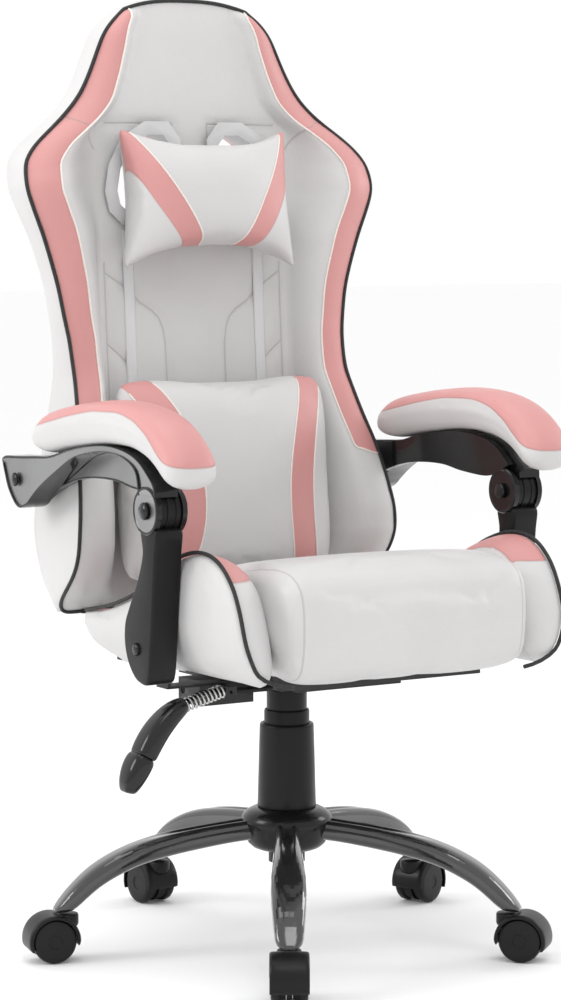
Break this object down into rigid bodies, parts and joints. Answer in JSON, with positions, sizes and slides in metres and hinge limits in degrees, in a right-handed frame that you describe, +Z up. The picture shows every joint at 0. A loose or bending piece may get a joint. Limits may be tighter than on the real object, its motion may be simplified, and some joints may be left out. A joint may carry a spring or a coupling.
{
  "type": "gaming chair",
  "caption": "Racing-style swivel chair with a winged reclining back, linked padded armrests, head and lumbar cushions, gas lift and a star base on twin-wheel casters.",
  "frame": {"origin": "middle of the chair's footprint, on the floor", "axes": "+Z up along the gas lift, -Y the way the sitter faces, +X towards the sitter's left"},
  "size_m": [0.685, 0.667, 1.2445],
  "materials": {
    "white_leather": "grained synthetic leather",
    "pink_leather": "grained synthetic leather",
    "webbing": "flat elastic webbing",
    "trim_plastic": "satin",
    "black_plastic": "satin",
    "gloss_plastic": "gloss",
    "wheel_plastic": "satin nylon",
    "black_steel": "gloss black coat",
    "bright_steel": "polished"
  },
  "bodies": {
    "base": {"base_hub": "black_steel", "base_leg_1": "black_steel", "base_leg_2": "black_steel", "base_leg_3": "black_steel", "base_leg_4": "black_steel", "base_leg_5": "black_steel", "lift_column": "black_steel", "sleeve_lower": "black_plastic"},
    "middle_sleeve": {"sleeve_middle": "black_plastic"},
    "lift": {"lift_piston": "bright_steel", "sleeve_upper": "black_plastic"},
    "seat": {"mechanism_housing": "black_steel", "seat_frame": "black_steel", "lever_bracket": "black_steel", "recline_shaft": "bright_steel", "seat_cushion": "white_leather", "seat_bolster_left": "white_leather", "seat_bolster_right": "white_leather", "link_bolt_left": "bright_steel", "link_bolt_right": "bright_steel"},
    "lever": {"lever_rod": "bright_steel", "lever_spring": "bright_steel", "lever_grip": "black_plastic", "lever_grip_tip": "black_plastic"},
    "back": {"backrest": "white_leather", "back_wing_left": "white_leather", "back_wing_right": "white_leather", "harness_trim_left": "trim_plastic", "harness_trim_right": "trim_plastic", "strap_left": "webbing", "strap_right": "webbing", "back_hinge_plate_left": "black_steel", "back_hinge_plate_right": "black_steel", "rear_pivot_bolt_left": "bright_steel", "rear_pivot_bolt_right": "bright_steel"},
    "head_pillow": {"head_cushion": "white_leather"},
    "lumbar_pillow": {"lumbar_cushion": "white_leather"},
    "caster_1": {"caster_1_hood": "black_plastic"},
    "caster_1_left": {"caster_1_wheel_left": "wheel_plastic"},
    "caster_1_right": {"caster_1_wheel_right": "wheel_plastic"},
    "caster_2": {"caster_2_hood": "black_plastic"},
    "caster_2_left": {"caster_2_wheel_left": "wheel_plastic"},
    "caster_2_right": {"caster_2_wheel_right": "wheel_plastic"},
    "caster_3": {"caster_3_hood": "black_plastic"},
    "caster_3_left": {"caster_3_wheel_left": "wheel_plastic"},
    "caster_3_right": {"caster_3_wheel_right": "wheel_plastic"},
    "caster_4": {"caster_4_hood": "black_plastic"},
    "caster_4_left": {"caster_4_wheel_left": "wheel_plastic"},
    "caster_4_right": {"caster_4_wheel_right": "wheel_plastic"},
    "caster_5": {"caster_5_hood": "black_plastic"},
    "caster_5_left": {"caster_5_wheel_left": "wheel_plastic"},
    "caster_5_right": {"caster_5_wheel_right": "wheel_plastic"},
    "arm_left": {"arm_frame_left": "gloss_plastic", "arm_pad_left": "pink_leather"},
    "link_left": {"arm_link_left": "black_plastic", "knuckle_bolt_left": "bright_steel"},
    "arm_right": {"arm_frame_right": "gloss_plastic", "arm_pad_right": "pink_leather"},
    "link_right": {"arm_link_right": "black_plastic", "knuckle_bolt_right": "bright_steel"}
  },
  "joints": [
    {"name": "caster_1_swivel", "type": "hinge", "parent": "base", "child": "caster_1", "pos_m": [-0.15184, -0.27532, 0.0585], "axis": [0, 0, 1], "continuous": true},
    {"name": "caster_1_left_roll", "type": "hinge", "parent": "caster_1", "child": "caster_1_left", "pos_m": [-0.16238, -0.29231, 0.0285], "axis": [0.8499, -0.527, 0], "continuous": true},
    {"name": "caster_1_right_roll", "type": "hinge", "parent": "caster_1", "child": "caster_1_right", "pos_m": [-0.16238, -0.29231, 0.0285], "axis": [0.8499, -0.527, 0], "continuous": true},
    {"name": "caster_2_swivel", "type": "hinge", "parent": "base", "child": "caster_2", "pos_m": [0.19989, -0.24949, 0.0585], "axis": [0, 0, 1], "continuous": true},
    {"name": "caster_2_left_roll", "type": "hinge", "parent": "caster_2", "child": "caster_2_left", "pos_m": [0.21279, -0.26476, 0.0285], "axis": [0.7638, 0.6455, 0], "continuous": true},
    {"name": "caster_2_right_roll", "type": "hinge", "parent": "caster_2", "child": "caster_2_right", "pos_m": [0.21279, -0.26476, 0.0285], "axis": [0.7638, 0.6455, 0], "continuous": true},
    {"name": "caster_3_swivel", "type": "hinge", "parent": "base", "child": "caster_3", "pos_m": [0.28401, 0.093, 0.0585], "axis": [0, 0, 1], "continuous": true},
    {"name": "caster_3_left_roll", "type": "hinge", "parent": "caster_3", "child": "caster_3_left", "pos_m": [0.30253, 0.10056, 0.0285], "axis": [-0.3778, 0.9259, 0], "continuous": true},
    {"name": "caster_3_right_roll", "type": "hinge", "parent": "caster_3", "child": "caster_3_right", "pos_m": [0.30253, 0.10056, 0.0285], "axis": [-0.3778, 0.9259, 0], "continuous": true},
    {"name": "caster_4_swivel", "type": "hinge", "parent": "base", "child": "caster_4", "pos_m": [-0.01572, 0.27885, 0.0585], "axis": [0, 0, 1], "continuous": true},
    {"name": "caster_4_left_roll", "type": "hinge", "parent": "caster_4", "child": "caster_4_left", "pos_m": [-0.01719, 0.29879, 0.0285], "axis": [-0.9973, -0.0732, 0], "continuous": true},
    {"name": "caster_4_right_roll", "type": "hinge", "parent": "caster_4", "child": "caster_4_right", "pos_m": [-0.01719, 0.29879, 0.0285], "axis": [-0.9973, -0.0732, 0], "continuous": true},
    {"name": "caster_5_swivel", "type": "hinge", "parent": "base", "child": "caster_5", "pos_m": [-0.28509, 0.05121, 0.0585], "axis": [0, 0, 1], "continuous": true},
    {"name": "caster_5_left_roll", "type": "hinge", "parent": "caster_5", "child": "caster_5_left", "pos_m": [-0.30451, 0.05598, 0.0285], "axis": [-0.2385, -0.9711, 0], "continuous": true},
    {"name": "caster_5_right_roll", "type": "hinge", "parent": "caster_5", "child": "caster_5_right", "pos_m": [-0.30451, 0.05598, 0.0285], "axis": [-0.2385, -0.9711, 0], "continuous": true},
    {"name": "seat_height", "type": "slide", "parent": "base", "child": "lift", "axis": [0, 0, 1], "range_m": [-0.036, 0.064]},
    {"name": "middle_sleeve_slide", "type": "slide", "parent": "base", "child": "middle_sleeve", "axis": [0, 0, 1], "range_m": [-0.018, 0.032]},
    {"name": "seat_swivel", "type": "hinge", "parent": "lift", "child": "seat", "pos_m": [0.00625, -0.02035, 0.3385], "axis": [0, 0, 1], "continuous": true},
    {"name": "lever_lift", "type": "hinge", "parent": "seat", "child": "lever", "pos_m": [-0.16375, -0.15135, 0.366], "axis": [0, 1, 0], "range_deg": [0, 4], "stiffness_Nm_per_rad": 6, "springref_deg": -2.86},
    {"name": "back_recline", "type": "hinge", "parent": "seat", "child": "back", "pos_m": [0.00625, 0.12965, 0.4185], "axis": [-1, 0, 0], "range_deg": [0, 30]},
    {"name": "arm_left_pivot", "type": "hinge", "parent": "back", "child": "arm_left", "pos_m": [0.27425, 0.18265, 0.6135], "axis": [1, 0, 0], "range_deg": [0, 23.5]},
    {"name": "link_left_pivot", "type": "hinge", "parent": "seat", "child": "link_left", "pos_m": [0.27625, -0.13235, 0.4255], "axis": [-1, 0, 0], "range_deg": [0, 31.2]},
    {"name": "arm_right_pivot", "type": "hinge", "parent": "back", "child": "arm_right", "pos_m": [-0.26175, 0.18265, 0.6135], "axis": [1, 0, 0], "range_deg": [0, 23.5]},
    {"name": "link_right_pivot", "type": "hinge", "parent": "seat", "child": "link_right", "pos_m": [-0.26375, -0.13235, 0.4255], "axis": [-1, 0, 0], "range_deg": [0, 31.2]},
    {"name": "head_pillow_slide", "type": "slide", "parent": "back", "child": "head_pillow", "axis": [0, 0.04, 0.9992], "range_m": [-0.03, 0.03]},
    {"name": "lumbar_pillow_slide", "type": "slide", "parent": "back", "child": "lumbar_pillow", "axis": [0, 0.0995, 0.995], "range_m": [-0.02, 0.03]}
  ],
  "couplings": [
    {"joint": "middle_sleeve_slide", "follows": "seat_height", "ratio": 0.5},
    {"joint": "arm_left_pivot", "follows": "back_recline", "ratio": 0.7713},
    {"joint": "link_left_pivot", "follows": "back_recline", "ratio": 1.0319},
    {"joint": "arm_right_pivot", "follows": "back_recline", "ratio": 0.7713},
    {"joint": "link_right_pivot", "follows": "back_recline", "ratio": 1.0319}
  ]
}
